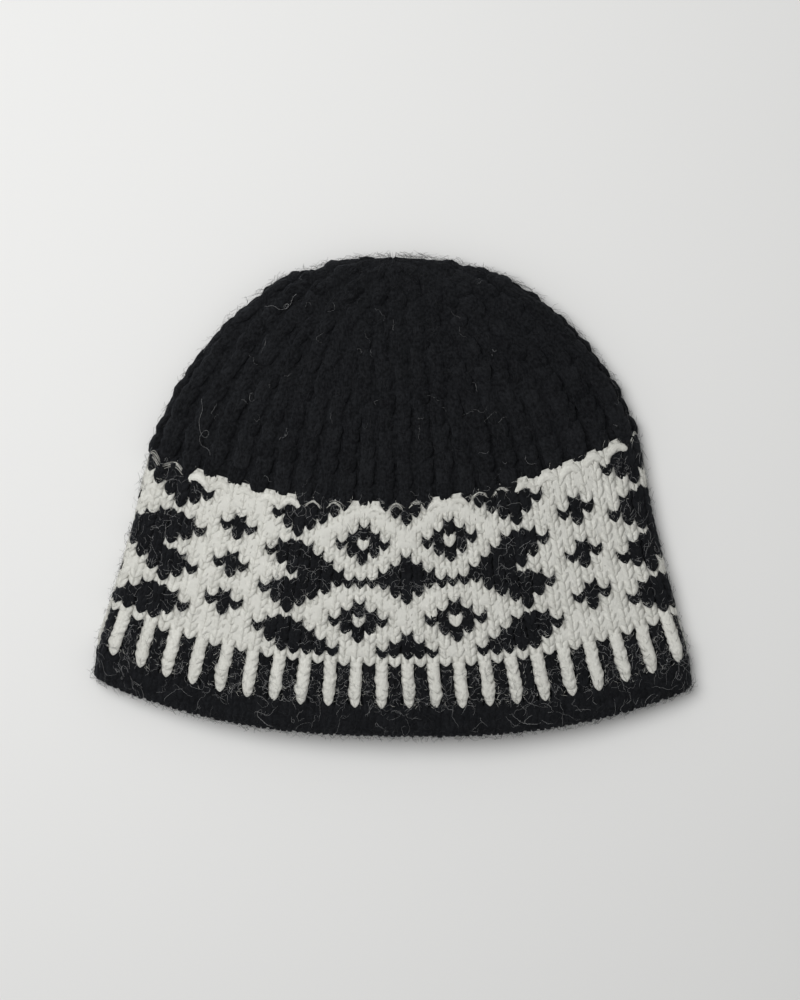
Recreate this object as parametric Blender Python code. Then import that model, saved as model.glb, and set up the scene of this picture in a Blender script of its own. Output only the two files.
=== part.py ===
"""Knit hat with a rolled hem, a border of bars, a patterned band and a ribbed crown.

The hat lies flat on its back, as it is laid on a table: +Z is up, the crown points to +Y and
the opening for the head faces -Y. It is a hollow knitted bag. Every piece is a ring or a cap
of the same thick fabric, and the pieces follow each other from the hem up to the tip.
Lengths are metres. The origin is under the middle of the hat, on the table.
"""

import bpy
import bmesh
import numpy as np

# Overall size of the hat as it lies
HAT_WIDTH = 0.2600
HAT_DEPTH = 0.0285

# Heights of the four knitted zones, measured up the middle of the front
HEM_HEIGHT = 0.0130
BORDER_HEIGHT = 0.0189
BAND_HEIGHT = 0.0704
CROWN_HEIGHT = 0.1060

# The fabric
STITCHES_ROUND = 90
KNIT_THICKNESS = 0.0042
HEM_ROLL_THICKNESS = 0.0052
INNER_FOLD_RADIUS = 0.0012
TIP_FOLD_EXTRA = 0.0012
TIP_THICKNESS = 0.0085
PIECE_GAP = 0.00035

# The drape: how far the hem's middle hangs below its corners, how much shorter the
# underside is at the hem, and which stitch column runs along the left fold
HEM_BOW = 0.0230
UNDERSIDE_HEM_RISE = 0.0030
LEFT_FOLD_COLUMN = -23.85

# Relief of the knitted ribs: crown ribs stand out, the furrows between the bars sink in
CROWN_RIB_RELIEF = 0.0012
BAR_FURROW_DEPTH = 0.0013
BAR_RUN_IN = 0.0015
RIB_RUN_IN = 0.0050

FOLD_RADIUS = KNIT_THICKNESS + INNER_FOLD_RADIUS
HAT_HEIGHT = HEM_HEIGHT + BORDER_HEIGHT + BAND_HEIGHT + CROWN_HEIGHT
BORDER_START = HEM_HEIGHT
BAND_START = BORDER_START + BORDER_HEIGHT
CROWN_START = BAND_START + BAND_HEIGHT

# Sections through the hat from the hem to the tip. Height is a share of the zone that the
# section lies in, half width a share of half the hat's width, bow a share of HEM_BOW,
# depth a share of HAT_DEPTH, and lean a share of HAT_HEIGHT (the right side is higher where
# it is positive). Bend is the power that the bow follows from the middle to the side, and
# crowd says how far the stitch columns crowd to the middle, as a share of the half width.
SECTION_COLUMNS = ("zone", "height", "half_width", "bow", "bend", "depth", "lean", "crowd")
SECTIONS = (
    ("hem",    0.00, 1.000, 1.00, 2.50, 0.60, -0.0100, 0.010),
    ("border", 0.00, 0.992, 1.04, 2.64, 0.68, -0.0105, 0.010),
    ("band",   0.00, 0.951, 1.03, 2.27, 0.83, -0.0070, 0.015),
    ("band",   0.50, 0.878, 1.04, 2.00, 0.97, 0.0045, 0.026),
    ("crown",  0.00, 0.812, 1.17, 1.93, 1.00, 0.0210, 0.046),
    ("crown",  0.15, 0.744, 1.38, 1.93, 0.98, 0.0170, 0.045),
    ("crown",  0.30, 0.653, 1.46, 1.93, 0.95, 0.0120, 0.042),
    ("crown",  0.45, 0.540, 1.48, 1.93, 0.89, 0.0070, 0.036),
    ("crown",  0.60, 0.404, 1.37, 1.93, 0.81, 0.0030, 0.028),
    ("crown",  0.75, 0.273, 0.95, 1.93, 0.70, 0.0010, 0.018),
    ("crown",  0.88, 0.132, 0.53, 1.93, 0.58, 0.0000, 0.010),
    ("crown",  1.00, 0.000, 0.00, 1.93, 0.46, 0.0000, 0.000),
)
ZONE_START = {"hem": 0.0, "border": BORDER_START, "band": BAND_START, "crown": CROWN_START}
ZONE_HEIGHT = {
    "hem": HEM_HEIGHT,
    "border": BORDER_HEIGHT,
    "band": BAND_HEIGHT,
    "crown": CROWN_HEIGHT,
}

# Shares that shape the curves: how sharply the front swells, where the fold gains its full
# thickness in the crown, where the ribs fade out at the tip, and the waist above the roll
SWELL_POWER = 1.2
FULL_FOLD_SHARE = 0.6
TIP_FADE_SHARE = 0.16
WAIST_HEIGHT_SHARE = 0.55
WAIST_SWELL_SHARE = 0.4

# Fineness of the curves
SECTION_SAMPLES = 480
NORMAL_STEP = 0.0004
ROLL_STEPS = 5
FOLD_COLUMNS = 2.2
FLAT_RELIEF_HEIGHT = 0.0010
FULL_RELIEF_HEIGHT = 0.0045

COLOURS = {
    "black_wool": (0.018, 0.019, 0.022, 1.0),
    "cream_wool": (0.720, 0.690, 0.620, 1.0),
}
WOOL_ROUGHNESS = 0.95


def clear_scene():
    for thing in list(bpy.data.objects):
        bpy.data.objects.remove(thing, do_unlink=True)


def wool_material(name):
    material = bpy.data.materials.new(name)
    material.use_nodes = True
    shader = material.node_tree.nodes["Principled BSDF"]
    shader.inputs["Base Color"].default_value = COLOURS[name]
    shader.inputs["Roughness"].default_value = WOOL_ROUGHNESS
    shader.inputs["Metallic"].default_value = 0.0
    return material


def section_heights():
    """Height of each section up the middle of the front."""
    return np.array([ZONE_START[row[0]] + row[1] * ZONE_HEIGHT[row[0]] for row in SECTIONS])


def column_of(name):
    """One named column of the table of sections."""
    place = SECTION_COLUMNS.index(name)
    return np.array([row[place] for row in SECTIONS])


def smooth_value(height, heights, values):
    """Value at a height, on a smooth curve through the sections that never overshoots."""
    steps = np.diff(heights)
    rises = np.diff(values) / steps
    slopes = np.zeros(len(values))
    slopes[0] = rises[0]
    slopes[-1] = rises[-1]
    for i in range(1, len(values) - 1):
        if rises[i - 1] * rises[i] > 0:
            slopes[i] = 2.0 * rises[i - 1] * rises[i] / (rises[i - 1] + rises[i])
    height = min(max(height, heights[0]), heights[-1])
    i = min(int(np.searchsorted(heights, height, side="right")) - 1, len(steps) - 1)
    t = (height - heights[i]) / steps[i]
    start = values[i] * (1 + 2 * t) * (1 - t) ** 2 + slopes[i] * steps[i] * t * (1 - t) ** 2
    end = values[i + 1] * t * t * (3 - 2 * t) + slopes[i + 1] * steps[i] * t * t * (t - 1)
    return start + end


def section_at(height):
    """Sizes of the hat's section at a height up the middle of the front."""
    heights = section_heights()
    size = {name: smooth_value(height, heights, column_of(name))
            for name in SECTION_COLUMNS[2:]}
    size["half_width"] *= HAT_WIDTH / 2
    size["bow"] *= HEM_BOW
    size["depth"] *= HAT_DEPTH
    size["lean"] *= HAT_HEIGHT
    crown_share = max(0.0, (height - CROWN_START) / CROWN_HEIGHT)
    size["fold"] = FOLD_RADIUS + TIP_FOLD_EXTRA * min(1.0, crown_share / FULL_FOLD_SHARE)
    return size


def outline_points(height):
    """The closed outline of a section, from the left fold over the front and back under."""
    size = section_at(height)
    half_width = max(size["half_width"], 1e-6)
    fold = size["fold"]
    fold_width = min(fold, half_width)
    swell = max(0.0, size["depth"] - 2 * fold)
    turn = np.linspace(0.0, 2 * np.pi, SECTION_SAMPLES + 1)
    x = -half_width * np.cos(turn)
    share = np.abs(x) / half_width
    past_flat = np.maximum(np.abs(x) - (half_width - fold_width), 0.0) / fold_width
    rounding = fold * np.sqrt(np.maximum(1 - past_flat ** 2, 0.0))
    on_front = turn <= np.pi
    front_z = rounding + swell * (1 - share ** 2) ** SWELL_POWER
    past_tip = max(0.0, (height - (HAT_HEIGHT - fold)) / fold)
    z = fold + np.where(on_front, front_z, -rounding) * np.sqrt(max(0.0, 1 - past_tip ** 2))
    rise = UNDERSIDE_HEM_RISE * (1 - height / HAT_HEIGHT) ** 2
    y = height + size["bow"] * share ** size["bend"] + size["lean"] * x / half_width
    y = y + np.where(on_front, 0.0, rise * (1 - share ** 2))
    return np.stack([x, y, z], axis=1)


def points_at_columns(height, columns):
    """Points on the outer surface at stitch columns, spread round the section."""
    outline = outline_points(height)
    lengths = np.linalg.norm(np.diff(outline, axis=0), axis=1)
    run = np.concatenate([[0.0], np.cumsum(lengths)])
    turn = (columns - LEFT_FOLD_COLUMN) / STITCHES_ROUND % 1.0
    crowd = section_at(height)["crowd"]
    wanted = (turn + crowd / 4 * np.sin(4 * np.pi * turn)) * run[-1]
    return np.stack([np.interp(wanted, run, outline[:, k]) for k in range(3)], axis=1)


def outer_surface(height, columns):
    """Points on the smooth outer surface and the directions that point out of the fabric."""
    points = points_at_columns(height, columns)
    round_step = points_at_columns(height, columns + 0.1) - points_at_columns(height, columns - 0.1)
    low = max(0.0, height - NORMAL_STEP)
    high = min(HAT_HEIGHT - NORMAL_STEP, height + NORMAL_STEP)
    up_step = points_at_columns(high, columns) - points_at_columns(low, columns)
    normals = np.cross(round_step, up_step)
    normals /= np.linalg.norm(normals, axis=1)[:, None]
    return points, normals


def relief_share(points):
    """No relief where the fabric is pressed flat on the table, all of it higher up."""
    share = (points[:, 2] - FLAT_RELIEF_HEIGHT) / (FULL_RELIEF_HEIGHT - FLAT_RELIEF_HEIGHT)
    return np.clip(share, 0.0, 1.0)


def loop_columns():
    """The stitch columns round the hat, with half columns between them at both folds."""
    columns = []
    for column in range(STITCHES_ROUND):
        columns.append(column)
        from_fold = (column + 0.5 - LEFT_FOLD_COLUMN) % (STITCHES_ROUND / 2)
        if min(from_fold, STITCHES_ROUND / 2 - from_fold) < FOLD_COLUMNS:
            columns.append(column + 0.5)
    return np.array(columns, dtype=float)


def fabric_loop(height, inward, odd_relief=0.0, even_relief=0.0):
    """One loop of points round the hat, at a depth in the fabric, with its rib relief."""
    columns = loop_columns()
    points, normals = outer_surface(height, columns)
    odd_share = np.abs((columns + 1) % 2 - 1)
    relief = even_relief + (odd_relief - even_relief) * odd_share
    out = relief * relief_share(points) - inward
    loop = points + normals * out[:, None]
    loop[:, 2] = np.maximum(loop[:, 2], 0.0)
    return loop


def evenly(low, high, count):
    return [low + (high - low) * i / (count - 1) for i in range(count)]


def hem_loops():
    """The rolled hem: a plain wall whose lower edge is turned in to a fat round roll."""
    radius = HEM_ROLL_THICKNESS / 2
    swell = radius - KNIT_THICKNESS / 2
    waist_swell = WAIST_SWELL_SHARE * swell
    top = HEM_HEIGHT - PIECE_GAP / 2
    waist = radius + WAIST_HEIGHT_SHARE * (top - radius)
    loops = [fabric_loop(top, 0.0), fabric_loop(waist, -waist_swell)]
    for i in range(ROLL_STEPS + 1):
        turn = np.pi * i / ROLL_STEPS
        height = radius - radius * np.sin(turn)
        loops.append(fabric_loop(height, KNIT_THICKNESS / 2 - radius * np.cos(turn)))
    loops.append(fabric_loop(waist, KNIT_THICKNESS + waist_swell))
    loops.append(fabric_loop(top, KNIT_THICKNESS))
    return loops


def border_loops():
    """The border of bars: every second stitch column sinks in between two raised bars."""
    low = BORDER_START + PIECE_GAP / 2
    high = BAND_START - PIECE_GAP / 2
    loops = [fabric_loop(high, 0.0)]
    for height in evenly(high - BAR_RUN_IN, low + BAR_RUN_IN, 3):
        loops.append(fabric_loop(height, 0.0, odd_relief=-BAR_FURROW_DEPTH))
    loops.append(fabric_loop(low, 0.0))
    loops += [fabric_loop(height, KNIT_THICKNESS) for height in evenly(low, high, 3)]
    return loops


def band_loops():
    """The patterned band: a smooth wall, thick because the idle yarn runs along its back."""
    low = BAND_START + PIECE_GAP / 2
    high = CROWN_START - PIECE_GAP / 2
    loops = [fabric_loop(height, 0.0) for height in evenly(high, low, 8)]
    loops += [fabric_loop(height, KNIT_THICKNESS) for height in evenly(low, high, 5)]
    return loops


def crown_loops():
    """The ribbed crown: outer loops from the tip down, then inner loops back up."""
    low = CROWN_START + PIECE_GAP / 2
    outer = []
    for share in (0.99, 0.97, 0.94, 0.89, 0.83, 0.76, 0.68, 0.60, 0.51, 0.42, 0.33, 0.24, 0.15, 0.07):
        height = CROWN_START + share * CROWN_HEIGHT
        fade = min(1.0, (height - low) / RIB_RUN_IN, (1 - share) / TIP_FADE_SHARE)
        relief = CROWN_RIB_RELIEF * fade
        outer.append(fabric_loop(height, 0.0, odd_relief=-relief, even_relief=relief))
    outer.append(fabric_loop(low, 0.0))
    inner = [fabric_loop(low, KNIT_THICKNESS)]
    for share in (0.15, 0.30, 0.45, 0.60, 0.72):
        height = CROWN_START + share * CROWN_HEIGHT
        inner.append(fabric_loop(height, KNIT_THICKNESS))
    return outer, inner


def add_loop(mesh, loop):
    return [mesh.verts.new(point) for point in loop]


def join_loops(mesh, first, second, lean_back=False):
    """A band of triangles between two loops of the same count."""
    count = len(first)
    for i in range(count):
        after = (i + 1) % count
        if lean_back:
            mesh.faces.new((first[i], second[i], first[after]))
            mesh.faces.new((second[i], second[after], first[after]))
        else:
            mesh.faces.new((first[i], second[i], second[after]))
            mesh.faces.new((first[i], second[after], first[after]))


def close_loop(mesh, loop, tip):
    """A fan of triangles from a loop to one point."""
    centre = mesh.verts.new(tip)
    for i in range(len(loop)):
        mesh.faces.new((loop[i], loop[(i + 1) % len(loop)], centre))


def finish_piece(name, mesh, material):
    """Turn a mesh into a named object with its faces pointing out."""
    bmesh.ops.recalc_face_normals(mesh, faces=mesh.faces)
    data = bpy.data.meshes.new(name)
    mesh.to_mesh(data)
    mesh.free()
    data.shade_smooth()
    data.materials.append(material)
    piece = bpy.data.objects.new(name, data)
    bpy.context.scene.collection.objects.link(piece)
    return piece


def ring_piece(name, loops, material):
    """A ring of fabric: its loops go down the outside and back up the inside.

    The upper end is closed with its triangles leaning the other way, so that it lies
    parallel to the lower end of the piece above.
    """
    mesh = bmesh.new()
    rows = [add_loop(mesh, loop) for loop in loops]
    for row, following in zip(rows, rows[1:]):
        join_loops(mesh, row, following)
    join_loops(mesh, rows[-1], rows[0], lean_back=True)
    return finish_piece(name, mesh, material)


def crown_piece(material):
    """The cap at the top, closed at its gathered tip and open below."""
    outer, inner = crown_loops()
    outer_tip = outline_points(HAT_HEIGHT)[0]
    mesh = bmesh.new()
    rows = [add_loop(mesh, loop) for loop in outer + inner]
    for row, following in zip(rows, rows[1:]):
        join_loops(mesh, row, following)
    close_loop(mesh, rows[0], outer_tip)
    inner_tip = outer_tip - np.array([0.0, TIP_THICKNESS, 0.0])
    close_loop(mesh, rows[-1], inner_tip)
    return finish_piece("crown", mesh, material)


def centre_on_table(pieces):
    """Put the origin under the middle of the hat."""
    corners = np.array([vertex.co for piece in pieces for vertex in piece.data.vertices])
    low = corners.min(axis=0)
    high = corners.max(axis=0)
    shift = -np.array([(low[0] + high[0]) / 2, (low[1] + high[1]) / 2, low[2]])
    for piece in pieces:
        for vertex in piece.data.vertices:
            vertex.co = vertex.co[:] + shift


def build_hat():
    black = wool_material("black_wool")
    cream = wool_material("cream_wool")
    pieces = [
        ring_piece("hem", hem_loops(), black),
        ring_piece("bar_border", border_loops(), cream),
        ring_piece("patterned_band", band_loops(), cream),
        crown_piece(black),
    ]
    centre_on_table(pieces)


clear_scene()
build_hat()
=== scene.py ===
import bpy
import numpy as np
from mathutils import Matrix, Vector


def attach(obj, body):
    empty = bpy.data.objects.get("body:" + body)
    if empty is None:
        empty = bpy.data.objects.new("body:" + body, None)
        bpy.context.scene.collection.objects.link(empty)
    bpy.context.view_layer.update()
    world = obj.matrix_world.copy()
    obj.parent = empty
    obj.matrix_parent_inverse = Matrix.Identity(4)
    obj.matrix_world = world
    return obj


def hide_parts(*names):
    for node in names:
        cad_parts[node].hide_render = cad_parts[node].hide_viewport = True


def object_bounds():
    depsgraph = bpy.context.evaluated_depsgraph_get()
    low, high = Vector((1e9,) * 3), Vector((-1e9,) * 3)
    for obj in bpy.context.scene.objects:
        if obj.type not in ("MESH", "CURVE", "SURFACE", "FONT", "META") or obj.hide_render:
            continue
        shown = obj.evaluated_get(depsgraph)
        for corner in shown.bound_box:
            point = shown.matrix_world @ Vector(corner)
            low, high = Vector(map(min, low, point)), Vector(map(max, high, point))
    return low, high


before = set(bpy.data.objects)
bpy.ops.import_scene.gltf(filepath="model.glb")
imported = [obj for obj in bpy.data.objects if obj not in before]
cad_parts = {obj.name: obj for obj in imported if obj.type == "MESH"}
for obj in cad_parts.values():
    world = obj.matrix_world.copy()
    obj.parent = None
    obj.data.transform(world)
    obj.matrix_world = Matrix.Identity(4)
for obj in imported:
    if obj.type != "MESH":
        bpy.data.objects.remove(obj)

PACKED_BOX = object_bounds()
chance = np.random.default_rng(45)

# The hem is the start of the hat: a few plain rows of thick black wool. Its lower edge is
# turned in to a fat roll, and from there the whole hat is knitted up in one tube of 90
# stitches. So the lie of that tube on the table, and how a stitch is laid on it, come first.
HEM_HEIGHT = 0.0130
BORDER_HEIGHT = 0.0189
BAND_HEIGHT = 0.0704
CROWN_HEIGHT = 0.1060
BORDER_START = HEM_HEIGHT
BAND_START = BORDER_START + BORDER_HEIGHT
CROWN_START = BAND_START + BAND_HEIGHT
HAT_HEIGHT = CROWN_START + CROWN_HEIGHT
HAT_WIDTH = 0.2600
HAT_DEPTH = 0.0285
STITCHES_ROUND = 90
LEFT_FOLD_COLUMN = -23.85
FOLD_RADIUS = 0.0054
TIP_FOLD_EXTRA = 0.0012
FULL_FOLD_SHARE = 0.6
HEM_BOW = 0.0230
UNDERSIDE_HEM_RISE = 0.0030
SWELL_POWER = 1.2
SECTION_SAMPLES = 720

# The tube's sections from the hem to the tip. Height is a share of the zone that the section
# lies in, half width and depth are shares of the hat's, bow is a share of the hem's bow, and
# lean a share of the hat's height (the right side is higher where it is positive). Bend is the
# power that the bow follows to the side, and crowd says how far the stitches crowd to the middle.
SECTION_COLUMNS = ("zone", "height", "half_width", "bow", "bend", "depth", "lean", "crowd")
SECTIONS = (
    ("hem",    0.00, 1.000, 1.00, 2.50, 0.60, -0.0100, 0.010),
    ("border", 0.00, 0.992, 1.04, 2.64, 0.68, -0.0105, 0.010),
    ("band",   0.00, 0.951, 1.03, 2.27, 0.83, -0.0070, 0.015),
    ("band",   0.50, 0.878, 1.04, 2.00, 0.97, 0.0045, 0.026),
    ("crown",  0.00, 0.812, 1.17, 1.93, 1.00, 0.0210, 0.046),
    ("crown",  0.15, 0.744, 1.38, 1.93, 0.98, 0.0170, 0.045),
    ("crown",  0.30, 0.653, 1.46, 1.93, 0.95, 0.0120, 0.042),
    ("crown",  0.45, 0.540, 1.48, 1.93, 0.89, 0.0070, 0.036),
    ("crown",  0.60, 0.404, 1.37, 1.93, 0.81, 0.0030, 0.028),
    ("crown",  0.75, 0.273, 0.95, 1.93, 0.70, 0.0010, 0.018),
    ("crown",  0.88, 0.132, 0.53, 1.93, 0.58, 0.0000, 0.010),
    ("crown",  1.00, 0.000, 0.00, 1.93, 0.46, 0.0000, 0.000),
)
ZONES = {
    "hem": (0.0, HEM_HEIGHT),
    "border": (BORDER_START, BORDER_HEIGHT),
    "band": (BAND_START, BAND_HEIGHT),
    "crown": (CROWN_START, CROWN_HEIGHT),
}
SECTION_HEIGHTS = np.array([ZONES[row[0]][0] + row[1] * ZONES[row[0]][1] for row in SECTIONS])


def section_size(name, height):
    """A size of the tube's section at a height, on a smooth curve through the sections."""
    place = SECTION_COLUMNS.index(name)
    values = np.array([row[place] for row in SECTIONS])
    steps = np.diff(SECTION_HEIGHTS)
    rises = np.diff(values) / steps
    slopes = np.zeros(len(values))
    slopes[[0, -1]] = rises[[0, -1]]
    before, after = rises[:-1], rises[1:]
    steady = before * after > 0
    total = np.where(steady, before + after, 1.0)
    slopes[1:-1] = np.where(steady, 2 * before * after / total, 0.0)
    below = int(np.searchsorted(SECTION_HEIGHTS, height, side="right")) - 1
    i = min(max(below, 0), len(steps) - 1)
    t = np.clip((height - SECTION_HEIGHTS[i]) / steps[i], 0.0, 1.0)
    start = values[i] * (1 + 2 * t) * (1 - t) ** 2 + slopes[i] * steps[i] * t * (1 - t) ** 2
    end = values[i + 1] * t * t * (3 - 2 * t) + slopes[i + 1] * steps[i] * t * t * (t - 1)
    return float(start + end)


def tube_section(height, columns):
    """Points on the outside of the hat at one height up the front, at stitch columns."""
    half_width = max(section_size("half_width", height) * HAT_WIDTH / 2, 1e-6)
    bow = section_size("bow", height) * HEM_BOW
    bend = section_size("bend", height)
    lean = section_size("lean", height) * HAT_HEIGHT
    crown_share = max(0.0, (height - CROWN_START) / CROWN_HEIGHT)
    fold = FOLD_RADIUS + TIP_FOLD_EXTRA * min(1.0, crown_share / FULL_FOLD_SHARE)
    fold_width = min(fold, half_width)
    swell = max(0.0, section_size("depth", height) * HAT_DEPTH - 2 * fold)
    turn = np.linspace(0.0, 2 * np.pi, SECTION_SAMPLES + 1)
    x = -half_width * np.cos(turn)
    share = np.abs(x) / half_width
    past_flat = np.maximum(np.abs(x) - (half_width - fold_width), 0.0) / fold_width
    rounding = fold * np.sqrt(np.maximum(1 - past_flat ** 2, 0.0))
    on_front = turn <= np.pi
    front_z = rounding + swell * (1 - share ** 2) ** SWELL_POWER
    past_tip = max(0.0, (height - (HAT_HEIGHT - fold)) / fold)
    z = fold + np.where(on_front, front_z, -rounding) * np.sqrt(max(0.0, 1 - past_tip ** 2))
    rise = UNDERSIDE_HEM_RISE * (1 - height / HAT_HEIGHT) ** 2
    y = height + bow * share ** bend + lean * x / half_width
    y = y + np.where(on_front, 0.0, rise * (1 - share ** 2))
    outline = np.stack([x, y, z], axis=1)
    run = np.concatenate([[0.0], np.cumsum(np.linalg.norm(np.diff(outline, axis=0), axis=1))])
    round_share = (columns - LEFT_FOLD_COLUMN) / STITCHES_ROUND % 1.0
    crowd = section_size("crowd", height)
    wanted = (round_share + crowd / 4 * np.sin(4 * np.pi * round_share)) * run[-1]
    return np.stack([np.interp(wanted, run, outline[:, k]) for k in range(3)], axis=1)


# The tube is worked out once on a fine net of places, and everything is laid on that net.
NET_COLUMN_STEP = 0.25
NET_HEIGHT_STEP = 0.00025
NET_BELOW_HEM = 0.004
SLOPE_ROWS = 4
net_columns = np.arange(0, STITCHES_ROUND, NET_COLUMN_STEP)
net_heights = np.arange(0.0, HAT_HEIGHT, NET_HEIGHT_STEP)
net = np.stack([tube_section(height, net_columns) for height in net_heights])
rows_below = int(NET_BELOW_HEM / NET_HEIGHT_STEP)
down_step = (net[0] - net[SLOPE_ROWS]) / SLOPE_ROWS
below = np.stack([net[0] + down_step * i for i in range(rows_below, 0, -1)])
net = np.concatenate([below, net])
net[:, :, 1] += PACKED_BOX[0][1] - net[rows_below, :, 1].min()
round_step = (np.roll(net, -1, axis=1) - np.roll(net, 1, axis=1)) / (2 * NET_COLUMN_STEP)
up_step = np.gradient(net, axis=0) / NET_HEIGHT_STEP
net_normals = np.cross(round_step, up_step)
net_normals /= np.maximum(np.linalg.norm(net_normals, axis=2), 1e-12)[:, :, None]
net_pitch = np.linalg.norm(round_step, axis=2)


def on_net(values, column, height):
    """Values of the net at any column and height, blended between its nearest places."""
    across = (column / NET_COLUMN_STEP) % len(net_columns)
    up = np.clip((height + NET_BELOW_HEM) / NET_HEIGHT_STEP, 0, len(net) - 1.001)
    left = across.astype(int) % len(net_columns)
    right = (left + 1) % len(net_columns)
    low = up.astype(int)
    a = across - np.floor(across)
    b = up - low
    if values.ndim == 3:
        a = a[..., None]
        b = b[..., None]
    lower = values[low, left] * (1 - a) + values[low, right] * a
    upper = values[low + 1, left] * (1 - a) + values[low + 1, right] * a
    return lower * (1 - b) + upper * b


# The fabric's thickness, the hem's fat roll, and how far the table presses the underside in.
KNIT_THICKNESS = 0.0042
ROLL_RADIUS = 0.0026
ROLL_FADE = 1.5
PRESSED_HEIGHT = 0.0030
PRESSED_DEPTH = 0.0012
TABLE_GAP = 0.0001


def lay_on_hat(column, run, out):
    """World points at a stitch column and a run up the fabric, standing out from it.

    The run is counted from where the hem's roll begins. Below it the run turns under the
    roll, and then goes up the inside of the hat.
    """
    column, run, out = np.broadcast_arrays(column, run, out)
    turn = np.clip((ROLL_RADIUS - run) / ROLL_RADIUS, 0.0, np.pi)
    inside = np.maximum(ROLL_RADIUS * (1 - np.pi) - run, 0.0)
    rolled = run < ROLL_RADIUS
    height = np.where(rolled, ROLL_RADIUS - (ROLL_RADIUS + out) * np.sin(turn) + inside, run)
    fat_share = np.clip(1 + ROLL_FADE - run / ROLL_RADIUS, 0.0, 1.0)
    fat = (ROLL_RADIUS - KNIT_THICKNESS / 2) * fat_share
    round_roll = KNIT_THICKNESS / 2 - (ROLL_RADIUS + out) * np.cos(turn)
    depth = np.where(rolled, round_roll, -out - fat)
    points = on_net(net, column, height)
    normals = on_net(net_normals, column, height)
    normals /= np.maximum(np.linalg.norm(normals, axis=-1), 1e-9)[..., None]
    pressed = np.clip(1 - points[..., 2] / PRESSED_HEIGHT, 0.0, 1.0)
    outer_share = np.clip(1 - depth / KNIT_THICKNESS, 0.0, 1.3)
    depth = depth + PRESSED_DEPTH * pressed * outer_share
    laid = points - normals * depth[..., None]
    laid[..., 2] = np.maximum(laid[..., 2], TABLE_GAP)
    return laid, normals


def stitch_pitch(column, run):
    """The width of one stitch column there."""
    return on_net(net_pitch, column, np.maximum(run, 0.0))


# Yarn is laid as round strands that taper where they dive behind their neighbours. Many
# strands are joined to one mesh, with the length, turn and tone of the yarn kept on its
# points for the finish.
YARN_TURN = 0.0012
END_CAP = 0.7


def strands(column, run, out, width, sides=6, flat=1.0, tone=None, felt=0.0):
    """Strands along rows of places: arrays of one row per strand. Widths are radii.

    Flat presses the strand's section, and felt makes its surface lumpy.
    """
    centres, normals = lay_on_hat(column, run, out)
    count, steps = centres.shape[:2]
    along = np.gradient(centres, axis=1)
    along /= np.maximum(np.linalg.norm(along, axis=2), 1e-12)[..., None]
    across = np.cross(along, normals)
    across /= np.maximum(np.linalg.norm(across, axis=2), 1e-12)[..., None]
    up = np.cross(across, along)
    angles = 2 * np.pi * (np.arange(sides) + 0.5) / sides
    width = np.broadcast_to(width, (count, steps))
    ring = (across[:, :, None] * np.cos(angles)[:, None]
            + up[:, :, None] * np.sin(angles)[:, None] * flat)
    along_share = np.linspace(0, 1, steps)[None, :, None]
    phase = chance.uniform(0, 2 * np.pi, (3, count, 1, 1))
    lumps = (np.sin(7.0 * along_share + phase[0] + angles)
             + np.sin(12.0 * along_share + phase[1] - 2 * angles)
             + np.sin(17.0 * along_share + phase[2] + 3 * angles)) / 3
    tubes = centres[:, :, None] + ring * (width[:, :, None] * (1 + felt * lumps))[..., None]
    ends = np.stack([centres[:, 0] - along[:, 0] * width[:, :1] * END_CAP,
                     centres[:, -1] + along[:, -1] * width[:, -1:] * END_CAP], axis=1)
    points = np.concatenate([tubes.reshape(count, -1, 3), ends], axis=1)
    points[..., 2] = np.maximum(points[..., 2], TABLE_GAP)
    ring_of = np.arange(steps - 1)[:, None] * sides + np.arange(sides)
    after = np.arange(steps - 1)[:, None] * sides + (np.arange(sides) + 1) % sides
    walls = np.stack([ring_of, after, after + sides, ring_of + sides], axis=-1).reshape(-1, 4)
    first = np.arange(sides)
    second = (first + 1) % sides
    foot = np.stack([second, first, np.full(sides, steps * sides)], axis=1)
    last = (steps - 1) * sides
    head = np.stack([last + first, last + second, np.full(sides, steps * sides + 1)], axis=1)
    size = points.shape[1]
    shift = np.arange(count)[:, None, None] * size
    lengths = np.linalg.norm(np.diff(centres, axis=1), axis=2)
    gone = np.concatenate([np.zeros((count, 1)), np.cumsum(lengths, axis=1)], axis=1)
    yarn = np.zeros((count, size, 3))
    yarn[:, :steps * sides, 0] = np.repeat(gone, sides, axis=1)
    yarn[:, -1, 0] = gone[:, -1]
    yarn[:, :steps * sides, 1] = np.tile(angles * YARN_TURN, steps)
    yarn[..., 2] = chance.uniform(0, 1, (count, 1))
    tone = chance.uniform(0, 1, count) if tone is None else tone
    return {
        "points": points.reshape(-1, 3),
        "quads": (walls[None] + shift).reshape(-1, 4),
        "tris": (np.concatenate([foot, head])[None] + shift).reshape(-1, 3),
        "yarn": yarn.reshape(-1, 3),
        "tone": np.repeat(tone, size),
    }


def joined(parts):
    """Several sets of strands as one."""
    start = np.cumsum([0] + [len(part["points"]) for part in parts[:-1]])
    return {
        "points": np.concatenate([part["points"] for part in parts]),
        "quads": np.concatenate([part["quads"] + s for part, s in zip(parts, start)]),
        "tris": np.concatenate([part["tris"] + s for part, s in zip(parts, start)]),
        "yarn": np.concatenate([part["yarn"] for part in parts]),
        "tone": np.concatenate([part["tone"] for part in parts]),
    }


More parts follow.
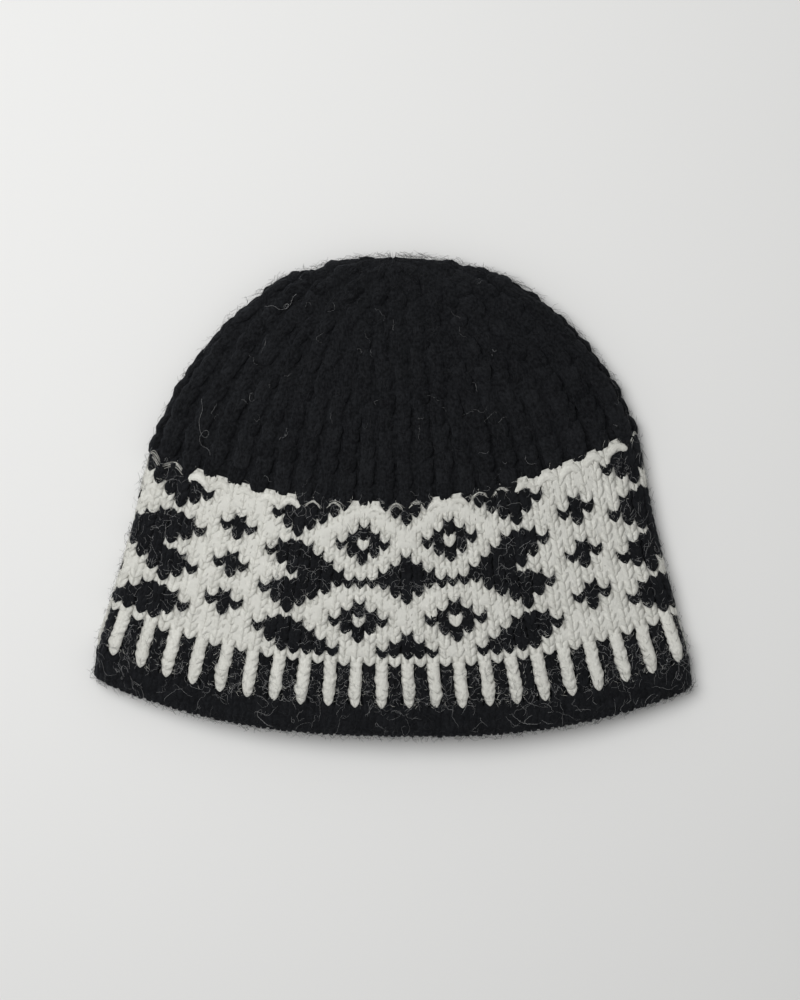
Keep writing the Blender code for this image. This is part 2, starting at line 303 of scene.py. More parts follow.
def knitted_piece(name, made, finish, nodes):
    """A mesh object of those strands or cloth, riding on the hat's one body."""
    mesh = bpy.data.meshes.new(name)
    quads, tris = made["quads"], made["tris"]
    mesh.vertices.add(len(made["points"]))
    mesh.vertices.foreach_set("co", made["points"].astype(np.float32).ravel())
    corners = np.concatenate([quads.ravel(), tris.ravel()])
    mesh.loops.add(len(corners))
    mesh.loops.foreach_set("vertex_index", corners.astype(np.int32))
    starts = np.concatenate([np.arange(len(quads)) * 4, len(quads) * 4 + np.arange(len(tris)) * 3])
    mesh.polygons.add(len(starts))
    mesh.polygons.foreach_set("loop_start", starts.astype(np.int32))
    mesh.update(calc_edges=True)
    mesh.shade_smooth()
    yarn = mesh.attributes.new("yarn", "FLOAT_VECTOR", "POINT")
    yarn.data.foreach_set("vector", made["yarn"].astype(np.float32).ravel())
    tone = mesh.attributes.new("tone", "FLOAT", "POINT")
    tone.data.foreach_set("value", made["tone"].astype(np.float32))
    mesh.materials.append(finish)
    piece = bpy.data.objects.new(name, mesh)
    bpy.context.scene.collection.objects.link(piece)
    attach(piece, "root")
    if nodes:
        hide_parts(*nodes)
    return piece


# Wool has no gloss of its own. Its colour shifts from strand to strand, fine fibres run
# along the yarn, and a felted down lies over it all. Both break up its surface. The stretch
# is how fast the fibres change along the yarn, round it, and from strand to strand.
FIBRE_STRETCH = (260.0, 1900.0, 37.0)
FIBRE_SCALE = 1.6
FIBRE_WEIGHT = 0.4
DOWN_WEIGHT = 0.6


def wool(name, shadow, light, sheen=0.05, fibre_depth=0.0004, sheen_tint=(1.0, 1.0, 1.0, 1.0),
         down_scale=1100.0, tone_share=0.22, surface_share=1.5):
    """A wool finish: its shares say how much the colour follows the strand's tone and fibres."""
    finish = bpy.data.materials.new(name)
    finish.use_nodes = True
    nodes, links = finish.node_tree.nodes, finish.node_tree.links
    shader = nodes["Principled BSDF"]
    shader.inputs["Roughness"].default_value = 0.95
    shader.inputs["Specular IOR Level"].default_value = 0.12
    shader.inputs["Sheen Weight"].default_value = sheen
    shader.inputs["Sheen Roughness"].default_value = 0.55
    shader.inputs["Sheen Tint"].default_value = sheen_tint

    def noise(source, stretch, scale):
        mapping = nodes.new("ShaderNodeMapping")
        mapping.inputs["Scale"].default_value = stretch
        links.new(source, mapping.inputs["Vector"])
        texture = nodes.new("ShaderNodeTexNoise")
        texture.inputs["Scale"].default_value = scale
        texture.inputs["Detail"].default_value = 3.0
        links.new(mapping.outputs["Vector"], texture.inputs["Vector"])
        return texture.outputs["Fac"]

    def weighed(source, weight, added):
        step = nodes.new("ShaderNodeMath")
        step.operation = "MULTIPLY_ADD"
        step.inputs[1].default_value = weight
        links.new(source, step.inputs[0])
        if isinstance(added, float):
            step.inputs[2].default_value = added
        else:
            links.new(added, step.inputs[2])
        return step.outputs["Value"]

    yarn = nodes.new("ShaderNodeAttribute")
    yarn.attribute_name = "yarn"
    tone = nodes.new("ShaderNodeAttribute")
    tone.attribute_name = "tone"
    place = nodes.new("ShaderNodeTexCoord")
    fibres = noise(yarn.outputs["Vector"], FIBRE_STRETCH, FIBRE_SCALE)
    down = noise(place.outputs["Object"], (1.0, 1.0, 1.0), down_scale)
    surface = weighed(fibres, FIBRE_WEIGHT, weighed(down, DOWN_WEIGHT, 0.0))
    ground = 0.5 - 0.5 * surface_share - 0.5 * tone_share
    shade = weighed(tone.outputs["Fac"], tone_share, weighed(surface, surface_share, ground))
    ramp = nodes.new("ShaderNodeValToRGB")
    ramp.color_ramp.elements[0].position = 0.25
    ramp.color_ramp.elements[0].color = shadow
    ramp.color_ramp.elements[1].position = 0.80
    ramp.color_ramp.elements[1].color = light
    links.new(shade, ramp.inputs["Fac"])
    links.new(ramp.outputs["Color"], shader.inputs["Base Color"])
    bump = nodes.new("ShaderNodeBump")
    bump.inputs["Strength"].default_value = 0.8
    bump.inputs["Distance"].default_value = fibre_depth
    links.new(surface, bump.inputs["Height"])
    links.new(bump.outputs["Normal"], shader.inputs["Normal"])
    return finish


BLACK_SHEEN = (0.55, 0.60, 0.70, 1.0)
black_yarn = wool("black_yarn", (0.0020, 0.0022, 0.0028, 1), (0.0110, 0.0118, 0.0135, 1),
                  sheen=0.05, fibre_depth=0.0007, sheen_tint=BLACK_SHEEN)

# A plain stitch shows as two fat legs that meet in a point. The point lies over the open
# head of the stitch below, and the heads of the legs bend in behind the stitch above.
# Up is in rows, and the other columns in stitch widths.
PLAIN_LEG = np.array((
    # across, up, out, radius
    (0.020, -0.86, 0.18, 0.060),
    (0.100, -0.62, 0.16, 0.160),
    (0.175, -0.34, 0.12, 0.240),
    (0.225, -0.04, 0.09, 0.285),
    (0.250, 0.26, 0.05, 0.295),
    (0.260, 0.56, -0.03, 0.260),
    (0.250, 0.90, -0.22, 0.140),
))
STITCH_SINK = 0.0013
UNEVEN_ACROSS = 0.035
UNEVEN_UP = 0.06
UNEVEN_FAT = 0.05


def plain_stitches(column, run, row_height, wide=1.0, fat=1.0, sink=STITCH_SINK, uneven=1.0,
                   leg=PLAIN_LEG, sides=5, flat=0.60, felt=0.06, proud=0.015, head=1.0):
    """Plain stitches at columns and runs: wide is the stitch's width in stitch columns.

    Sink is how deep they lie in the fabric, proud how unevenly they stand out of it, and head
    how far up their legs reach.
    """
    column, run, row_height, wide, fat = np.broadcast_arrays(column, run, row_height, wide, fat)
    count = len(column)
    across, up, out, width = leg.T
    up = np.where(up > 0, up * head, up)
    pitch = (stitch_pitch(column, run) * wide)[:, None]
    tone = chance.uniform(0, 1, count)
    sway = chance.normal(0, UNEVEN_ACROSS * uneven, (count, 1))
    hang = chance.normal(0, UNEVEN_UP * uneven, (count, 1))
    parts = []
    for side in (-1, 1):
        thick = fat[:, None] * (1 + chance.normal(0, UNEVEN_FAT * uneven, (count, 1)))
        legs_column = column[:, None] + wide[:, None] * (side * across + sway)
        legs_run = run[:, None] + row_height[:, None] * (up + hang)
        legs_out = pitch * (out + chance.normal(0, proud, (count, 1))) - sink
        parts.append(strands(legs_column, legs_run, legs_out, pitch * width * thick,
                             sides=sides, flat=flat, tone=tone, felt=felt))
    return joined(parts)


# The hem's own rows: four of plain black stitches, and two more round the roll.
HEM_ROW_HEIGHT = 0.0031
HEM_ROWS = 6
HEM_TOP_ROW_SHARE = 0.35
HEM_SINK = 0.0011
all_columns = np.arange(STITCHES_ROUND, dtype=float)


def rows_of(columns, runs):
    """Every column at every run, as two flat arrays."""
    column, run = np.meshgrid(columns, runs)
    return column.ravel(), run.ravel()


hem_runs = HEM_HEIGHT - HEM_ROW_HEIGHT * (np.arange(HEM_ROWS) + HEM_TOP_ROW_SHARE)
hem_column, hem_run = rows_of(all_columns, hem_runs)
HEM_LEG = np.array((
    # across, up, out, radius
    (0.060, -0.85, 0.06, 0.120),
    (0.150, -0.45, 0.09, 0.230),
    (0.235, 0.05, 0.07, 0.270),
    (0.270, 0.55, 0.02, 0.250),
    (0.260, 0.95, -0.12, 0.150),
))
knitted_piece("hem_stitches",
              plain_stitches(hem_column, hem_run, HEM_ROW_HEIGHT, sink=HEM_SINK, leg=HEM_LEG,
                             sides=4, flat=0.5, felt=0.12, uneven=1.3),
              black_yarn, ["hem"])


# Under the stitches the fabric is one body: the backs of the stitches, and on the inside
# of the hat their purl side, with its rows of small bumps.
BODY_DEPTH = 0.0020
PURL_DEPTH = 0.0007
BODY_COLUMN_STEP = 0.5
MIDDLE_TONE = 0.5
TIP_INSIDE_SHARE = 0.72


def fabric_body(name, low, high, row_height, finish, nodes, tone_of=None, tip=False,
                depth=BODY_DEPTH, depth_of=None, column_step=BODY_COLUMN_STEP):
    """The body of one zone: out at its lower edge, up the outside and back down the inside."""
    columns = np.arange(0, STITCHES_ROUND, column_step)
    outer_rows = np.append(np.arange(low, high, row_height / 2), high)
    inner_rows = outer_rows
    if tip:
        inner_rows = np.arange(low, low + TIP_INSIDE_SHARE * (high - low), row_height / 2)
    loops = []
    tones = []
    for run in inner_rows:
        bumps = np.sin(np.pi * columns) ** 2 * (0.5 + 0.5 * np.cos(2 * np.pi * run / row_height))
        loops.append(lay_on_hat(columns, run, PURL_DEPTH * bumps - KNIT_THICKNESS)[0])
        # Painted shade: the tone inside is lighter on the purl bumps and darker in the hollows
        # between them.
        tones.append(0.25 + 0.5 * bumps)
    loops = loops[::-1]
    tones = tones[::-1]
    for run in outer_rows:
        deep = depth if depth_of is None else depth_of(columns, run)
        loops.append(lay_on_hat(columns, run, -deep)[0])
        plain = np.full(len(columns), MIDDLE_TONE)
        tones.append(plain if tone_of is None else tone_of(columns, run))
    count = len(columns)
    points = np.concatenate(loops)
    at = np.arange(count)
    after = (at + 1) % count
    quads = [np.stack([k * count + at, k * count + after, (k + 1) * count + after,
                       (k + 1) * count + at], axis=1) for k in range(len(loops) - 1)]
    tris = np.zeros((0, 3), dtype=int)
    tone = np.concatenate(tones)
    if tip:
        ends = [loops[0].mean(axis=0), loops[-1].mean(axis=0)]
        ends[0][1] = loops[0][:, 1].max()
        points = np.concatenate([points, ends])
        tone = np.append(tone, [MIDDLE_TONE, MIDDLE_TONE])
        last = (len(loops) - 1) * count
        inner_fan = np.stack([after, at, np.full(count, len(points) - 2)], axis=1)
        outer_fan = np.stack([last + at, last + after, np.full(count, len(points) - 1)], axis=1)
        tris = np.concatenate([inner_fan, outer_fan])
    else:
        k = len(loops) - 1
        quads.append(np.stack([k * count + at, k * count + after, after, at], axis=1))
    made = {"points": points, "quads": np.concatenate(quads), "tris": tris,
            "yarn": points[:, [1, 0, 2]], "tone": tone}
    return knitted_piece(name, made, finish, nodes)


# The hem is felted so full that its body lies just under the face of its stitches.
HEM_BODY_DEPTH = 0.0003
fabric_body("hem_body", -ROLL_RADIUS, HEM_HEIGHT, HEM_ROW_HEIGHT, black_yarn,
            ["hem"], depth=HEM_BODY_DEPTH)

# The border: six rows of black and cream wool, knitted together. Every second stitch is cream
# and stands up as a bar, and the stitches between are black and lie deeper. The cream bars run
# into the all-cream row above.
BORDER_ROWS = 6
BAR_FOOT_ALLOWANCE = 0.0009
bar_row_height = (BORDER_HEIGHT - BAR_FOOT_ALLOWANCE) / BORDER_ROWS
bar_runs = BAND_START - bar_row_height * (np.arange(BORDER_ROWS) + 0.5)
cream_yarn = wool("cream_yarn", (0.515, 0.511, 0.470, 1), (0.690, 0.687, 0.640, 1),
                  sheen=0.10, fibre_depth=0.0006, sheen_tint=(1.0, 0.94, 0.84, 1.0),
                  down_scale=900.0)
bar_columns = all_columns[::2]
bar_column, bar_run = rows_of(bar_columns, bar_runs)

# Each bar is felted into one cord, so a core fills it up. Bar and core fatten above the foot.
BAR_SINK = 0.0011
BAR_FAT = 0.92
BAR_FOOT_FAT = 0.80
BAR_FOOT_WIDE = 0.82
BAR_FOOT_REACH = 0.80
BAR_CORE_STEPS = 16
BAR_CORE_OUT = 0.06
BAR_CORE_SWAY = 0.012
BAR_CORE_SHAPE = np.array((
    # above the foot, radius in stitch widths
    (0.0000, 0.12),
    (0.0012, 0.25),
    (0.0030, 0.37),
    (0.0050, 0.45),
))
bar_foot = bar_runs[-1] - BAR_FOOT_REACH * bar_row_height
core_run = np.linspace(bar_foot, BAND_START, BAR_CORE_STEPS)[None, :]
core_column = bar_columns[:, None] + chance.normal(0, BAR_CORE_SWAY, (len(bar_columns), 1))
core_width = np.interp(core_run - bar_foot, *BAR_CORE_SHAPE.T)
core_pitch = stitch_pitch(core_column, core_run)
at_foot = bar_run == bar_runs[-1]
knitted_piece("cream_bars", joined([
    plain_stitches(bar_column, bar_run, bar_row_height, sink=BAR_SINK, flat=0.48, felt=0.14,
                   wide=np.where(at_foot, BAR_FOOT_WIDE, 1.0),
                   fat=np.where(at_foot, BAR_FOOT_FAT, BAR_FAT)),
    strands(core_column, core_run, core_pitch * BAR_CORE_OUT - BAR_SINK, core_pitch * core_width,
            sides=8, flat=0.38, felt=0.05),
]), cream_yarn, ["bar_border"])

FURROW_SINK = 0.0019
gap_column, gap_run = rows_of(all_columns[1::2], bar_runs)
knitted_piece("black_furrows",
              plain_stitches(gap_column, gap_run, bar_row_height, sink=FURROW_SINK, sides=4),
              black_yarn, ["bar_border"])
# The border's body is the same black wool, coloured about half as bright as its yarn: painted
# shade in the furrows between the bars.
painted_shade_black_body = wool("painted_shade_black_body", (0.0012, 0.0013, 0.0017, 1), (0.0055, 0.0060, 0.0070, 1),
                  sheen=0.03, sheen_tint=BLACK_SHEEN)
fabric_body("border_body", BORDER_START, BAND_START, bar_row_height, painted_shade_black_body,
            ["bar_border"])

# The patterned band: 21 rows of plain stitches in black and cream wool, knitted on from the
# border in the colours of a chart. The yarn that isn't in use runs along behind.

# The chart gives one half of a repeat of 30 stitches, from the middle of the diamonds to the
# middle of the crosses, and it mirrors about both. A hash is a black stitch, a dot a cream
# one, and an o a cream stitch that its black neighbours half cover.
BAND_CHART = (
    "###...#####.....",
    "##.....#####....",
    "#.......#####...",
    "....#....###....",
    "...###....#....#",
    "..##.##...o...##",
    "...###...###...#",
    "#...#...#####...",
    "##.....#####....",
    "###...#####....#",
    "##########o...##",
    "##.....#####...#",
    "#.......#####...",
    "....#....###....",
    "...###....#....#",
    "..##.##...o...##",
    "...###...###...#",
    "#...#...#####...",
    "##.....#####....",
    "###...#####.....",
    "................",
)
CHART_HALF = len(BAND_CHART[0]) - 1
band_row_height = BAND_HEIGHT / len(BAND_CHART)


def chart_mark(column, row):
    """The chart's mark for a stitch of the round."""
    from_middle = int(column) % (2 * CHART_HALF)
    mirrored = min(from_middle, 2 * CHART_HALF - from_middle)
    return BAND_CHART[row][mirrored]


CHART_REPEAT = np.array([[chart_mark(column, row) for column in range(2 * CHART_HALF)]
                         for row in range(len(BAND_CHART))])
band_places = {mark: [] for mark in "#.o"}
for row in range(len(BAND_CHART)):
    row_run = CROWN_START - band_row_height * (row + 0.5)
    for column in range(STITCHES_ROUND):
        band_places[chart_mark(column, row)].append((column, row_run))
black_places, cream_places, small_places = [
    np.array(band_places[mark], dtype=float).T for mark in "#.o"]

# Where the crown starts, the last cream row closes in round bumps, one between each two ribs.
# Over black stitches the bump is only a few thin strands that show through.
BUMP_STEPS = 9
BUMP_REACH = 0.78
BUMP_DROP = 0.72
BUMP_POWER = 1.6


def top_bumps(columns, top, out, width, foot, flat, felt, stray=0.08, sides=8):
    """Round bumps at those columns: top in rows, out, width and foot in stitch widths."""
    arc = np.linspace(-1, 1, BUMP_STEPS)
    columns = columns[:, None]
    run = CROWN_START - band_row_height * 0.5
    pitch = stitch_pitch(columns, np.full_like(columns, run))
    rise = chance.normal(0, stray, columns.shape)
    reach = BUMP_REACH * (1 + chance.normal(0, stray, columns.shape))
    fat = chance.uniform(0.88, 1.1, columns.shape)
    return strands(columns + reach * arc,
                   run + band_row_height * (top + rise - BUMP_DROP * np.abs(arc) ** BUMP_POWER),
                   pitch * out - STITCH_SINK, pitch * (width - (width - foot) * arc ** 2) * fat,
                   sides=sides, flat=flat, felt=felt)


furrow_columns = all_columns[1::2]
capped = np.array([chart_mark(c, 0) == "." for c in furrow_columns])
in_top_row = cream_places[1] > CROWN_START - band_row_height
ZIGZAG_START = -0.36
ZIGZAG_LIMIT = 0.2


def marked(column, run, mark):
    """Which places lie on the band's stitches of one mark.

    A stitch's point hangs below its row and its legs reach above it, so the edge between
    two rows runs in a zigzag.
    """
    off_centre = np.abs(column - np.round(column))
    zigzag = np.minimum(2.0 * off_centre + ZIGZAG_START, ZIGZAG_LIMIT)
    rows = np.floor((CROWN_START - run) / band_row_height + zigzag).astype(int)
    in_band = (rows >= 0) & (rows < len(BAND_CHART))
    rows = np.clip(rows, 0, len(BAND_CHART) - 1)
    columns = np.round(column).astype(int) % (2 * CHART_HALF)
    return in_band & (CHART_REPEAT[rows, columns] == mark)


# A lone cream stitch, with black above and below it, stands fuller. A small one is half
# covered by its neighbours.
LONE_SINK = 0.0009
SMALL_SINK = 0.0015
SMALL_SHARE = 0.8
ROW_ABOVE = 0.9
ROW_BELOW = 1.4
stitch_column, stitch_run = cream_places
lone = (marked(stitch_column, stitch_run + ROW_ABOVE * band_row_height, "#")
        & marked(stitch_column, stitch_run - ROW_BELOW * band_row_height, "#"))
full = ~in_top_row & ~lone
THIN_STRANDS = 7
CREAM_LOOK = {"flat": 0.50, "felt": 0.12}
knitted_piece("cream_band_stitches", joined([
    plain_stitches(*cream_places[:, full], band_row_height, fat=1.08, **CREAM_LOOK),
    plain_stitches(*cream_places[:, lone], band_row_height, fat=1.25, sink=LONE_SINK,
                   **CREAM_LOOK),
    plain_stitches(*cream_places[:, in_top_row], band_row_height, head=0.3, **CREAM_LOOK),
    plain_stitches(*small_places, band_row_height * SMALL_SHARE, wide=0.75, fat=0.7,
                   sink=SMALL_SINK),
    top_bumps(furrow_columns[capped], top=-0.30, out=0.11, width=0.40, foot=0.25, flat=0.60,
              felt=0.14),
    top_bumps(np.repeat(furrow_columns[~capped], THIN_STRANDS), top=0.02, out=0.22,
              width=0.019, foot=0.010, flat=1.0, felt=0.3, stray=0.20, sides=4),
]), cream_yarn, ["patterned_band"])
knitted_piece("black_band_stitches",
              plain_stitches(*black_places, band_row_height, fat=1.10, sides=4, felt=0.12),
              black_yarn, ["patterned_band"])


# Between the stitches the band's body shows in its own colours. Inside the cream it is felted
# so full that it fills the hollows between the legs, and only their ridges are left.
BAND_COLUMN_STEP = 0.25
BAND_BODY_DEPTH = 0.0012
FELTED_DEPTH = 0.00036
FELTED_RIDGE = 0.00034


def chart_tone(columns, run):
    """Light behind the cream stitches and dark behind the black ones."""
    return np.where(marked(columns, np.full(len(columns), run), "#"), 0.0, 1.0)


def felted_depth(columns, run):
    """How deep the band's body lies: high inside the cream, and low at its edges."""
    inner = np.ones(len(columns), dtype=bool)
    for across in (-0.5, 0.0, 0.5):
        for up in (-0.5, 0.5):
            place = min(run + up * band_row_height, CROWN_START - 0.3 * band_row_height)
            inner &= marked(columns + across, np.full(len(columns), place), ".")
    ridge = 0.5 - 0.5 * np.cos(4 * np.pi * columns)
    return np.where(inner, FELTED_DEPTH - FELTED_RIDGE * ridge, BAND_BODY_DEPTH)


band_body = wool("band_body", (0.0018, 0.0020, 0.0025, 1), (0.604, 0.600, 0.558, 1),
                 fibre_depth=0.0007, down_scale=900.0, tone_share=1.0,
                 surface_share=0.3)
fabric_body("band_body", BAND_START, CROWN_START, band_row_height, band_body,
            ["patterned_band"], tone_of=chart_tone, depth_of=felted_depth,
            column_step=BAND_COLUMN_STEP)

# The crown: black rib, so thick that its stitches stand in fat upright cords with dark
# furrows between them. It starts with 45 ribs, and in tiers they are drawn in to six, which
# are pulled together at the tip.
CROWN_TIERS = (
    # share of the crown's height where the tier starts, ribs
    (0.00, 45),
    (0.42, 36),
    (0.58, 27),
    (0.70, 21),
    (0.80, 15),
    (0.88, 10),
    (0.95, 6),
)
FIRST_ROUND_SHARE = 0.38
RIB_ROW_HEIGHT = 0.0064
TIP_ROW_HEIGHT = 0.0046
RIB_SINK = 0.0022
RIB_LEG = np.array((
    # across, up, out, radius
    (0.040, -0.70, 0.02, 0.130),
    (0.080, -0.50, 0.08, 0.215),
    (0.115, -0.18, 0.11, 0.265),
    (0.140, 0.18, 0.06, 0.270),
    (0.150, 0.52, -0.04, 0.225),
    (0.140, 0.82, -0.20, 0.120),
))
crown_yarn = wool("crown_yarn", (0.0020, 0.0022, 0.0028, 1), (0.0125, 0.0133, 0.0150, 1),
                  sheen=0.04, fibre_depth=0.0016, sheen_tint=BLACK_SHEEN, down_scale=800.0,
                  surface_share=2.1)


def ribs_at(run):
    """How high up the crown a round is, and how many ribs it has."""
    share = (run - CROWN_START) / CROWN_HEIGHT
    return share, [count for start, count in CROWN_TIERS if share >= start][-1]


rib_parts = []
row_run = CROWN_START + FIRST_ROUND_SHARE * RIB_ROW_HEIGHT
while row_run < HAT_HEIGHT - 0.5 * TIP_ROW_HEIGHT:
    share, ribs = ribs_at(row_run)
    row_height = RIB_ROW_HEIGHT + (TIP_ROW_HEIGHT - RIB_ROW_HEIGHT) * share
    spacing = STITCHES_ROUND / ribs
    wander = chance.uniform(-0.5, 0.5) * max(0.0, 2 * share - 1)
    rib_parts.append(plain_stitches(
        (np.arange(ribs) + wander) * spacing, np.full(ribs, row_run), row_height,
        wide=spacing, sink=RIB_SINK, leg=RIB_LEG, sides=6, uneven=1.2 + 2.2 * share,
        flat=0.75, felt=0.22, proud=0.02 + 0.03 * share))
    row_run += row_height
knitted_piece("crown_ribs", joined(rib_parts), crown_yarn, ["crown"])

# The ribs are felted together: the crown's body fills them up, and between two ribs it sinks.
RIB_STAND = 0.0002
RIB_FURROW = 0.0026
RIB_WAVES = 0.0002
TIER_BLEND = 0.0020
TIP_GAP = 0.0006


def rib_depth(columns, run):
    """How deep the crown's body lies: proud along the ribs, and deep in the furrows."""
    ridge = np.zeros(len(columns))
    for near in (-TIER_BLEND, TIER_BLEND):
        share, ribs = ribs_at(max(run + near, CROWN_START))
        ridge += 0.25 + 0.25 * np.cos(2 * np.pi * columns * ribs / STITCHES_ROUND)
    waves = np.sin(1.7 * columns + 900.0 * run) * np.sin(1.1 * columns - 1400.0 * run)
    return RIB_WAVES * waves - RIB_STAND + RIB_FURROW * (1 - 0.5 * share) * (1 - ridge)


fabric_body("crown_body", CROWN_START, HAT_HEIGHT - TIP_GAP, RIB_ROW_HEIGHT / 2, crown_yarn,
            ["crown"], tip=True, depth_of=rib_depth)

# Loose fibres stand out of all this wool: a short dark down on the black, fine pale curls
# that lie over it, and short wisps at the edges of both colours. They are spun into the yarn
# and work loose as the hat is worn.
WISP = 0.00010
FINE = 0.00006
FINEST = 0.00005
FAINT = 0.00003
ROOT_DEPTH = 0.0004


def loose_hairs(places, length, curl, radius, stand, steps=4, flat=1.0):
    """Curly hairs that start at places of the fabric, as strands that thin to both ends.

    Length and stand are ranges. Stand is how far they rise out of the fabric.
    """
    column, run = places
    count = len(column)
    step = chance.uniform(length[0], length[1], count) / (steps - 1)
    heading = chance.uniform(0, 2 * np.pi, count)
    bend = chance.normal(0, 0.5 * curl, count)
    pitch = np.maximum(stitch_pitch(column, run), 0.001)
    path_column = [column]
    path_run = [run]
    for k in range(steps - 1):
        heading = heading + bend + chance.normal(0, curl, count)
        path_column.append(path_column[-1] + np.cos(heading) * step / pitch)
        path_run.append(path_run[-1] + np.sin(heading) * step)
    rise = chance.uniform(stand[0], stand[1], (count, 1))
    along = np.linspace(0, 1, steps)
    wave = 0.25 * np.sin(2 * np.pi * (along + chance.uniform(0, 1, (count, 1))))
    out = -ROOT_DEPTH + (rise + ROOT_DEPTH) * (along ** 0.5 + wave * along)
    runs = np.clip(np.stack(path_run, axis=1), -0.003, HAT_HEIGHT - 0.001)
    thin = 0.35 + 0.65 * np.sin(np.pi * (0.12 + 0.76 * along))
    width = radius * thin * chance.uniform(0.5, 1.2, (count, 1))
    return strands(np.stack(path_column, axis=1), runs, out, width, sides=3, flat=flat)


def scattered(count, low, high, mark=None):
    """Random places between two runs, in the band only on stitches of one mark."""
    column = chance.uniform(0, STITCHES_ROUND, count)
    run = chance.uniform(low, high, count)
    if mark:
        on_mark = marked(column, run, mark)
        column, run = column[on_mark], run[on_mark]
    return column, run


def near_edge(places, mark):
    """Those of the places that lie just beside stitches of that mark."""
    column, run = places
    beside = np.zeros(len(column), dtype=bool)
    for across, up in ((-0.3, 0.0), (0.3, 0.0), (0.0, -0.35), (0.0, 0.35)):
        beside |= marked(column + across, run + up * band_row_height, mark)
    return column[beside], run[beside]


def beside_bars(count, away):
    """Random places of the border, about so many stitches to either side of a bar."""
    side = chance.choice((-1.0, 1.0), count)
    bar = chance.choice(bar_columns, count)
    column = bar + side * (away + chance.uniform(-0.1, 0.3, count))
    return column, chance.uniform(bar_foot, BAND_START, count)


def along_folds(count):
    """Random places beside the two folds of the hat, closer together towards the tip."""
    fold = LEFT_FOLD_COLUMN + chance.choice((0.0, STITCHES_ROUND / 2), count)
    return fold + chance.normal(0, 0.7, count), HAT_HEIGHT * chance.uniform(0, 1, count) ** 0.6


# A few longer hairs lie in loops on the crown. Heading is in turns, up the hat being 0.25.
LONG_CURL_COLUMNS = ("column", "run", "heading", "loops", "length")
LONG_CURLS = (
    (69.2, 0.1240, -0.22, 1.1, 0.030),
    (69.0, 0.1590, 0.03, 2.2, 0.026),
    (77.0, 0.1210, 0.10, 1.2, 0.009),
    (89.0, 0.1755, 0.24, 0.0, 0.005),
)
LONG_CURL_STEPS = 44
LONG_CURL_RADIUS = 0.00004
LONG_CURL_STAND = 0.0012
LONG_CURL_WAVES = 0.0004


def long_curl(column, run, heading, loops, length):
    """One long hair that runs on, turns in loops half way, and runs on again."""
    along = np.linspace(0, 1, LONG_CURL_STEPS)
    looped = np.clip((along - 0.35) / 0.40, 0, 1)
    wobble = 0.05 * np.sin(9 * along + column) + 0.07 * np.sin(23 * along + run)
    turns = heading + loops * looped + wobble
    step = length / (LONG_CURL_STEPS - 1)
    pitch = stitch_pitch(np.array([column]), np.array([run]))[0]
    columns = column + np.cumsum(np.cos(2 * np.pi * turns)) * step / pitch
    runs = run + np.cumsum(np.sin(2 * np.pi * turns)) * step
    out = LONG_CURL_STAND + LONG_CURL_WAVES * np.sin(7 * along)
    return strands(columns[None], runs[None], out[None],
                   np.full((1, LONG_CURL_STEPS), LONG_CURL_RADIUS), sides=3)


dark_hair = wool("dark_hair", (0.006, 0.0065, 0.0075, 1), (0.034, 0.035, 0.038, 1))
pale_hair = wool("pale_hair", (0.120, 0.124, 0.128, 1), (0.600, 0.600, 0.600, 1))
knitted_piece("dark_down", joined([
    loose_hairs(scattered(800, CROWN_START, HAT_HEIGHT),
                length=(0.003, 0.007), curl=0.6, radius=FINE, stand=(0.0010, 0.0028)),
    loose_hairs(along_folds(850),
                length=(0.002, 0.006), curl=0.7, radius=FINE, stand=(0.0004, 0.0026)),
    loose_hairs(scattered(500, BAND_START, CROWN_START, "#"),
                length=(0.003, 0.006), curl=0.6, radius=FINE, stand=(0.0004, 0.0020)),
    loose_hairs(scattered(500, 0.0, BAND_START),
                length=(0.003, 0.007), curl=0.6, radius=FINE, stand=(0.0006, 0.0028)),
    loose_hairs(scattered(1600, -0.003, 0.003),
                length=(0.002, 0.006), curl=0.7, radius=FINE, stand=(0.0006, 0.0028)),
]), dark_hair, None)
knitted_piece("pale_curls", joined([
    loose_hairs(scattered(3000, BAND_START, CROWN_START, "#"), steps=7,
                length=(0.0025, 0.009), curl=0.65, radius=FINEST, stand=(0.0004, 0.0014)),
    loose_hairs(near_edge(scattered(9000, BAND_START, CROWN_START, "#"), "."), steps=5,
                length=(0.0020, 0.0045), curl=0.8, radius=FINE, stand=(0.0003, 0.0012)),
    loose_hairs(beside_bars(1150, 0.62), steps=6,
                length=(0.002, 0.006), curl=0.8, radius=FINEST, stand=(0.0002, 0.0012)),
    loose_hairs(scattered(450, 0.003, BORDER_START + 0.008), steps=10,
                length=(0.004, 0.014), curl=0.60, radius=FINEST, stand=(0.0004, 0.0016)),
    loose_hairs(scattered(80, CROWN_START, CROWN_START + 0.75 * CROWN_HEIGHT), steps=8,
                length=(0.003, 0.009), curl=0.6, radius=FAINT, stand=(0.0010, 0.0018)),
    *[long_curl(**dict(zip(LONG_CURL_COLUMNS, curl))) for curl in LONG_CURLS],
]), pale_hair, None)
knitted_piece("cream_wisps", joined([
    loose_hairs(scattered(1200, BAND_START, CROWN_START, "."),
                length=(0.0015, 0.004), curl=0.7, radius=FINEST, stand=(0.0003, 0.0016)),
    loose_hairs(near_edge(scattered(32000, BAND_START, CROWN_START, "."), "#"), steps=3, flat=0.5,
                length=(0.0010, 0.0024), curl=0.5, radius=WISP, stand=(0.0002, 0.0006)),
    loose_hairs(beside_bars(1100, 0.40), steps=3, flat=0.5,
                length=(0.0010, 0.0022), curl=0.5, radius=WISP, stand=(-0.0002, 0.0004)),
]), cream_yarn, None)
knitted_piece(
    "black_wisps",
    loose_hairs(near_edge(scattered(7000, BAND_START, CROWN_START, "#"), "."), steps=3, flat=0.5,
                length=(0.0010, 0.0024), curl=0.5, radius=WISP, stand=(0.0002, 0.0006)),
    black_yarn, None)

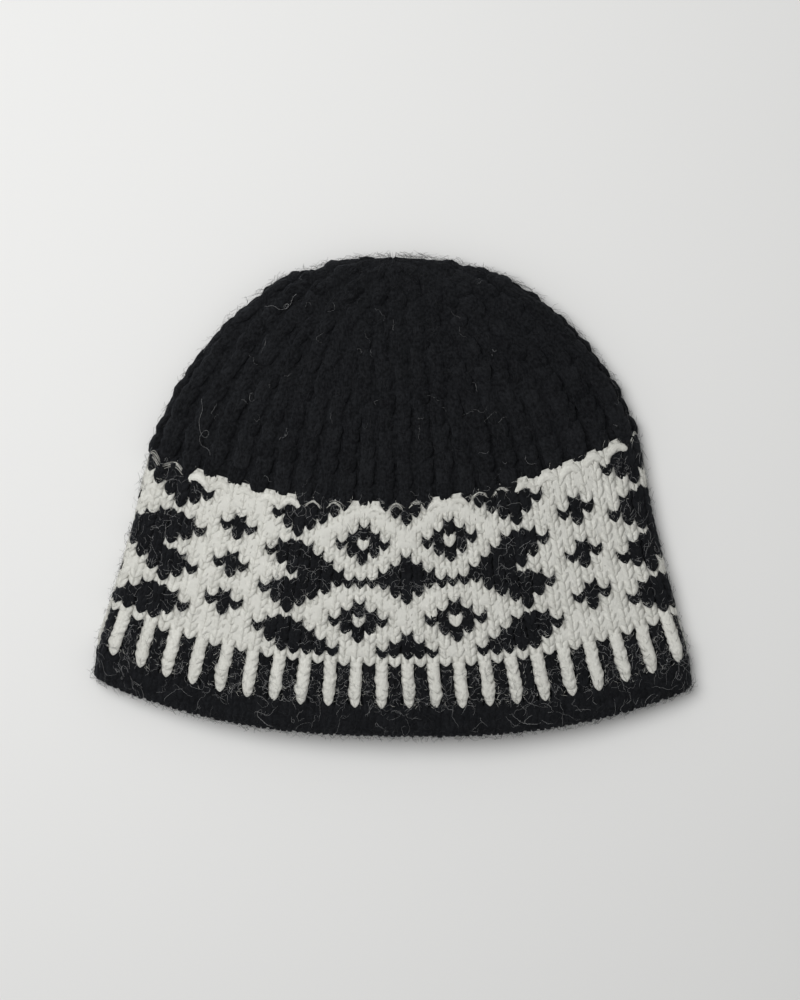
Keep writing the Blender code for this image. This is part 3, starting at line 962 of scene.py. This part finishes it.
# The hat lies on a plain pale table, lit softly from a little behind on the left.
TABLE_SIZE = 3.0
table = bpy.data.materials.new("table")
table.use_nodes = True
table_shader = table.node_tree.nodes["Principled BSDF"]
table_shader.inputs["Roughness"].default_value = 0.85
table_shader.inputs["Specular IOR Level"].default_value = 0.1
table_noise = table.node_tree.nodes.new("ShaderNodeTexNoise")
table_noise.inputs["Scale"].default_value = 3.0
table_ramp = table.node_tree.nodes.new("ShaderNodeValToRGB")
table_ramp.color_ramp.elements[0].color = (0.735, 0.735, 0.725, 1)
table_ramp.color_ramp.elements[1].color = (0.765, 0.765, 0.755, 1)
table.node_tree.links.new(table_noise.outputs["Fac"], table_ramp.inputs["Fac"])
table.node_tree.links.new(table_ramp.outputs["Color"], table_shader.inputs["Base Color"])
bpy.ops.mesh.primitive_plane_add(size=TABLE_SIZE, location=(0, 0, 0))
floor = bpy.context.object
floor.name = "table_top"
floor.data.materials.append(table)


def soft_light(name, place, size, power, aim=(0.0, 0.0, 0.0)):
    """A round lamp of that size and power, turned to its aim."""
    lamp = bpy.data.lights.new(name, "AREA")
    lamp.shape = "DISK"
    lamp.size = size
    lamp.energy = power
    light = bpy.data.objects.new(name, lamp)
    light.location = place
    away = light.location - Vector(aim)
    light.rotation_euler = away.to_track_quat("Z", "Y").to_euler()
    bpy.context.scene.collection.objects.link(light)


soft_light("key", place=(-0.38, 0.25, 0.95), size=0.8, power=7.8, aim=(-0.16, 0.12, 0.0))
soft_light("fill", place=(-0.3, 0.5, 1.3), size=1.2, power=1.5)
world = bpy.data.worlds.new("room")
bpy.context.scene.world = world
world.use_nodes = True
world.node_tree.nodes["Background"].inputs["Color"].default_value = (1.0, 1.0, 1.0, 1)
world.node_tree.nodes["Background"].inputs["Strength"].default_value = 0.40
bpy.context.scene.view_settings.view_transform = "Standard"

# The camera looks straight down, as the photograph was taken, with the crown at the top.
VIEW_WIDTH = 0.3484
VIEW_MIDDLE = (0.0030, -0.0015)
CAMERA_HEIGHT = 1.6
SENSOR_WIDTH = 36.0
HAT_EDGE_HEIGHT = 0.006
camera_data = bpy.data.cameras.new("camera")
camera_data.sensor_fit = "HORIZONTAL"
camera_data.sensor_width = SENSOR_WIDTH
camera_data.lens = SENSOR_WIDTH * (CAMERA_HEIGHT - HAT_EDGE_HEIGHT) / VIEW_WIDTH
camera_data.clip_start = 0.01
camera = bpy.data.objects.new("camera", camera_data)
camera.location = (*VIEW_MIDDLE, CAMERA_HEIGHT)
bpy.context.scene.collection.objects.link(camera)
bpy.context.scene.camera = camera
